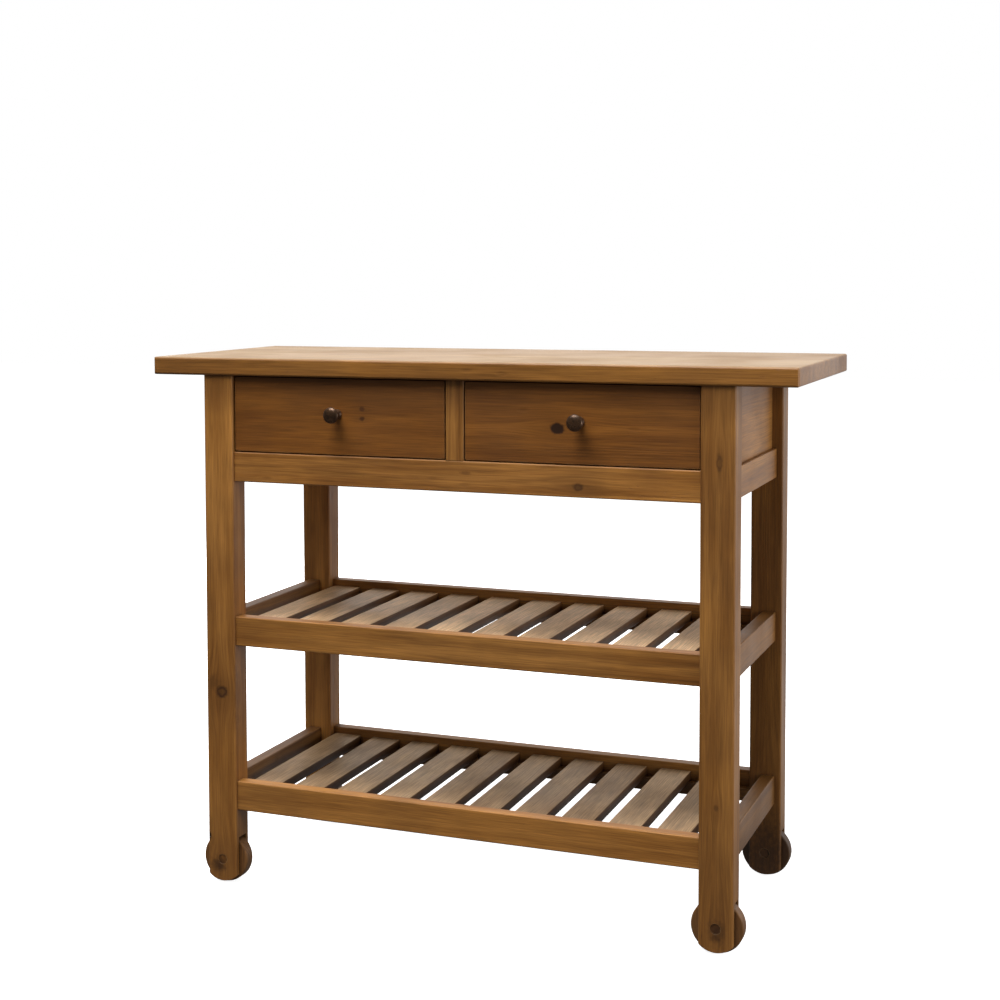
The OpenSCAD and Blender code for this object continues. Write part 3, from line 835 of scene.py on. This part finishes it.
def make_slat_tree():
    """Lays eased slats side by side, each a little out of line and with its own seed."""
    tree = bpy.data.node_groups.new("laid slats", "GeometryNodeTree")
    tree.is_modifier = True
    sizes = [
        ("Count", "NodeSocketInt", 10),
        ("Width", "NodeSocketFloat", 0.054),
        ("Thickness", "NodeSocketFloat", 0.016),
        ("Length", "NodeSocketFloat", 0.3654),
        ("Left End", "NodeSocketFloat", -0.396),
        ("Span", "NodeSocketFloat", 0.7686),
        ("Underside", "NodeSocketFloat", 0.0),
        ("Middle", "NodeSocketFloat", 0.0),
        ("Eased Edge", "NodeSocketFloat", 0.0015),
        ("Slack", "NodeSocketFloat", 0.0012),
        ("Turn", "NodeSocketFloat", 0.004),
        ("Seed", "NodeSocketInt", 1),
        ("Timber", "NodeSocketMaterial", None),
    ]
    for name, kind, default in sizes:
        socket = tree.interface.new_socket(name, in_out="INPUT", socket_type=kind)
        if default is not None:
            socket.default_value = default
    tree.interface.new_socket("Geometry", in_out="OUTPUT", socket_type="NodeSocketGeometry")
    w = Wiring(tree)
    given = tree.nodes.new("NodeGroupInput").outputs
    result = tree.nodes.new("NodeGroupOutput").inputs

    outline = w.add(
        "GeometryNodeCurvePrimitiveQuadrilateral",
        {"Width": given["Width"], "Height": given["Thickness"]},
    )
    outline = w.add(
        "GeometryNodeFilletCurve",
        {"Curve": outline, "Radius": given["Eased Edge"], "Count": 4},
        mode="POLY",
    )
    half = w.maths("MULTIPLY", given["Length"], 0.5)
    back = w.maths("MULTIPLY", given["Length"], -0.5)
    path = w.add(
        "GeometryNodeCurvePrimitiveLine",
        {"Start": w.joined(0.0, back, 0.0), "End": w.joined(0.0, half, 0.0)},
    )
    path = w.add("GeometryNodeSetCurveNormal", {"Curve": path}, mode="Z_UP")
    slat = w.add(
        "GeometryNodeCurveToMesh", {"Curve": path, "Profile Curve": outline, "Fill Caps": True}
    )
    room = w.maths("SUBTRACT", given["Span"], given["Width"])
    pitch = w.maths("DIVIDE", room, w.maths("SUBTRACT", given["Count"], 1))
    first = w.maths("MULTIPLY_ADD", given["Width"], 0.5, given["Left End"])
    height = w.maths("MULTIPLY_ADD", given["Thickness"], 0.5, given["Underside"])
    line = w.add(
        "GeometryNodeMeshLine",
        {
            "Count": given["Count"],
            "Start Location": w.joined(first, given["Middle"], height),
            "Offset": w.joined(pitch, 0.0, 0.0),
        },
        mode="OFFSET",
    )
    chance = w.add(
        "FunctionNodeRandomValue",
        {"Min": 0.0, "Max": 1.0, "Seed": given["Seed"]},
        out="Value",
        data_type="FLOAT",
    )
    centred = w.maths("SUBTRACT", chance, 0.5)
    aside = w.joined(w.maths("MULTIPLY", centred, given["Slack"]), 0.0, 0.0)
    line = w.add("GeometryNodeSetPosition", {"Geometry": line, "Offset": aside})
    laid = w.add(
        "GeometryNodeInstanceOnPoints",
        {
            "Points": line,
            "Instance": slat,
            "Rotation": w.joined(0.0, 0.0, w.maths("MULTIPLY", centred, given["Turn"])),
        },
    )
    laid = w.add(
        "GeometryNodeStoreNamedAttribute",
        {"Geometry": laid, "Name": "slat_seed", "Value": chance},
        data_type="FLOAT",
        domain="INSTANCE",
    )
    real = w.add("GeometryNodeRealizeInstances", {"Geometry": laid})
    done = w.add("GeometryNodeSetMaterial", {"Geometry": real, "Material": given["Timber"]})
    w.put(result["Geometry"], done)
    return tree


SLAT_TREE = make_slat_tree()


def lay_slats(level, seed, tone_and_light, sheen):
    """Makes the slats of one shelf from their CAD node's own box."""
    node = f"{level}_slats"
    low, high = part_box(node)
    size = high - low
    material = timber(
        f"grey brown pine of the {level} slats",
        "slat",
        "y",
        middle_of(node),
        seed,
        pith=(0.0, 0.02, -0.05),
        slats=True,
        tone_and_light=tone_and_light,
        sheen=sheen,
    )
    maker = bpy.data.objects.new(f"{level}_slat_maker", bpy.data.meshes.new(f"{level}_slat_maker"))
    bpy.context.scene.collection.objects.link(maker)
    modifier = maker.modifiers.new("laid slats", "NODES")
    modifier.node_group = SLAT_TREE
    # Room at both ends for the slats that lie aside or turned
    room = 0.0007
    values = {
        "Thickness": size.z,
        "Length": size.y,
        "Left End": low.x + room,
        "Span": size.x - 2 * room,
        "Underside": low.z,
        "Middle": (low.y + high.y) / 2,
        "Seed": int(seed * 10),
        "Timber": material,
    }
    for item in SLAT_TREE.interface.items_tree:
        if item.in_out == "INPUT" and item.name in values:
            modifier[item.identifier] = values[item.name]
    maker.update_tag()
    graph = bpy.context.evaluated_depsgraph_get()
    mesh = bpy.data.meshes.new_from_object(
        maker.evaluated_get(graph), preserve_all_data_layers=True, depsgraph=graph
    )
    bpy.data.objects.remove(maker)
    slats = bpy.data.objects.new(f"{level}_shelf_slats", mesh)
    bpy.context.scene.collection.objects.link(slats)
    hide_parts(node)
    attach(slats, "frame")


dress_timber()
# The middle shelf's slats are painted lighter and the lower shelf's darker: painted light and shade
# for how each shelf is lit
lay_slats("middle", seed=2.3, tone_and_light=1.24, sheen=0.36)
lay_slats("lower", seed=5.1, tone_and_light=0.76, sheen=0.25)

steel = metal(
    "bright steel",
    paint(190, 190, 192),
    paint(150, 150, 154),
    roughness=0.34,
    mottle_scale=120.0,
    bump=0.1,
)
bronze = metal(
    "dark brown bronze",
    paint(92, 66, 46),
    paint(60, 42, 28),
    roughness=0.30,
    mottle_scale=130.0,
    bump=0.15,
    metallic=0.55,
)
for node_name in ("top_screws", "axles", "wheel_washers", "knob_screw_left", "knob_screw_right"):
    dress(node_name, steel)
for corner_name in CORNERS:
    dress(f"bush_{corner_name}", steel)
dress("knob_left", bronze)
dress("knob_right", bronze)


# Floor, light and camera


# Emission that brings the lit floor to white for the camera, but not the dark under a wheel
FLOOR_GLOW = 0.88

# Where the floor begins to show as bright in gloss and where it is fully so, in metres behind
FLOOR_MIRRORED = (-0.8, 1.4)
FLOOR_IN_GLOSS = 0.72


def lay_floor():
    """A pale floor that the camera sees as white, with the table's shadow on it."""
    mesh = bpy.data.meshes.new("studio_floor")
    reach = 14.0
    signs = ((-1, -1), (1, -1), (1, 1), (-1, 1))
    corners = [(reach * x, reach * y, 0.0) for x, y in signs]
    mesh.from_pydata(corners, [], [(0, 1, 2, 3)])
    floor = bpy.data.objects.new("studio_floor", mesh)
    bpy.context.scene.collection.objects.link(floor)
    material = bpy.data.materials.new("pale floor")
    material.use_nodes = True
    material.node_tree.nodes.clear()
    w = Wiring(material.node_tree)
    rays = material.node_tree.nodes.new("ShaderNodeLightPath").outputs
    seen = rays["Is Camera Ray"]
    colour = w.blend(seen, (0.07, 0.069, 0.068, 1.0), (0.98, 0.98, 0.98, 1.0))
    diffuse = w.add("ShaderNodeBsdfDiffuse", {"Color": colour})
    place = w.add("ShaderNodeTexCoord", out="Object")
    behind = w.step(w.parts(place)[1], *FLOOR_MIRRORED, 0.0, FLOOR_IN_GLOSS)
    mirrored = w.maths("MULTIPLY", behind, rays["Is Glossy Ray"])
    strength = w.maths("MAXIMUM", w.maths("MULTIPLY", seen, FLOOR_GLOW), mirrored)
    glow = w.add("ShaderNodeEmission", {"Strength": strength})
    both = w.add("ShaderNodeAddShader", {0: diffuse, 1: glow})
    w.add("ShaderNodeOutputMaterial", {"Surface": both})
    mesh.materials.append(material)


# Share of white that matt surfaces get from all round
AMBIENT = 0.22


def light_world():
    """White all round for the camera and for gloss, and a softer light on matt surfaces."""
    world = bpy.data.worlds.new("studio")
    bpy.context.scene.world = world
    world.use_nodes = True
    world.node_tree.nodes.clear()
    w = Wiring(world.node_tree)
    rays = world.node_tree.nodes.new("ShaderNodeLightPath").outputs
    mirrored = w.maths("MAXIMUM", rays["Is Glossy Ray"], rays["Is Transmission Ray"])
    towards = w.add("ShaderNodeTexCoord", out="Generated")
    backdrop = w.step(w.parts(towards)[1], -0.4, 0.3, 0.02, 1.0)
    strength = w.maths("MULTIPLY_ADD", mirrored, w.maths("SUBTRACT", backdrop, AMBIENT), AMBIENT)
    strength = w.maths("MAXIMUM", strength, rays["Is Camera Ray"])
    background = w.add(
        "ShaderNodeBackground", {"Color": (1.0, 1.0, 1.0, 1.0), "Strength": strength}
    )
    w.add("ShaderNodeOutputWorld", {"Surface": background})


def hang_lamp(name, place, target, size, watts, in_gloss=True):
    """A square softbox at a place, turned towards a target."""
    data = bpy.data.lights.new(name, "AREA")
    data.shape = "SQUARE"
    data.size = size
    data.energy = watts
    lamp = bpy.data.objects.new(name, data)
    lamp.location = place
    lamp.rotation_euler = (Vector(target) - Vector(place)).to_track_quat("-Z", "Y").to_euler()
    lamp.visible_glossy = in_gloss
    bpy.context.scene.collection.objects.link(lamp)


def set_camera():
    """The photograph's viewpoint: long lens, from the right of the drawers at chest height."""
    place = (1.0059, -2.8107 + FRAME_Y, 1.0447)
    yaw, pitch, roll = 0.39950, -0.05708, -0.00470
    ahead = Vector(
        (-math.sin(yaw) * math.cos(pitch), math.cos(yaw) * math.cos(pitch), math.sin(pitch))
    )
    right = Vector((math.cos(yaw), math.sin(yaw), 0.0))
    up = right.cross(ahead)
    turned_right = right * math.cos(roll) + up * math.sin(roll)
    turned_up = up * math.cos(roll) - right * math.sin(roll)
    data = bpy.data.cameras.new("camera")
    data.sensor_width = 36.0
    data.lens = 63.225
    data.shift_x = 0.1000
    data.shift_y = -0.1291
    camera = bpy.data.objects.new("camera", data)
    axes = Matrix((turned_right, turned_up, -ahead)).transposed()
    camera.matrix_world = Matrix.Translation(place) @ axes.to_4x4()
    bpy.context.scene.collection.objects.link(camera)
    bpy.context.scene.camera = camera


lay_floor()
light_world()
hang_lamp("ceiling softbox", (-0.7, -1.89, 4.87), (0.0, 0.0, 0.6), size=3.0, watts=304.0)
hang_lamp("side softbox", (2.5, -0.5, 0.9), (0.2, 0.0, 0.6), size=1.2, watts=26.0)
hang_lamp(
    "back softbox", (-2.4, 2.8, 1.5), (0.0, 0.0, 0.5), size=1.8, watts=75.0, in_gloss=False
)
set_camera()
bpy.context.scene.view_settings.view_transform = "Standard"
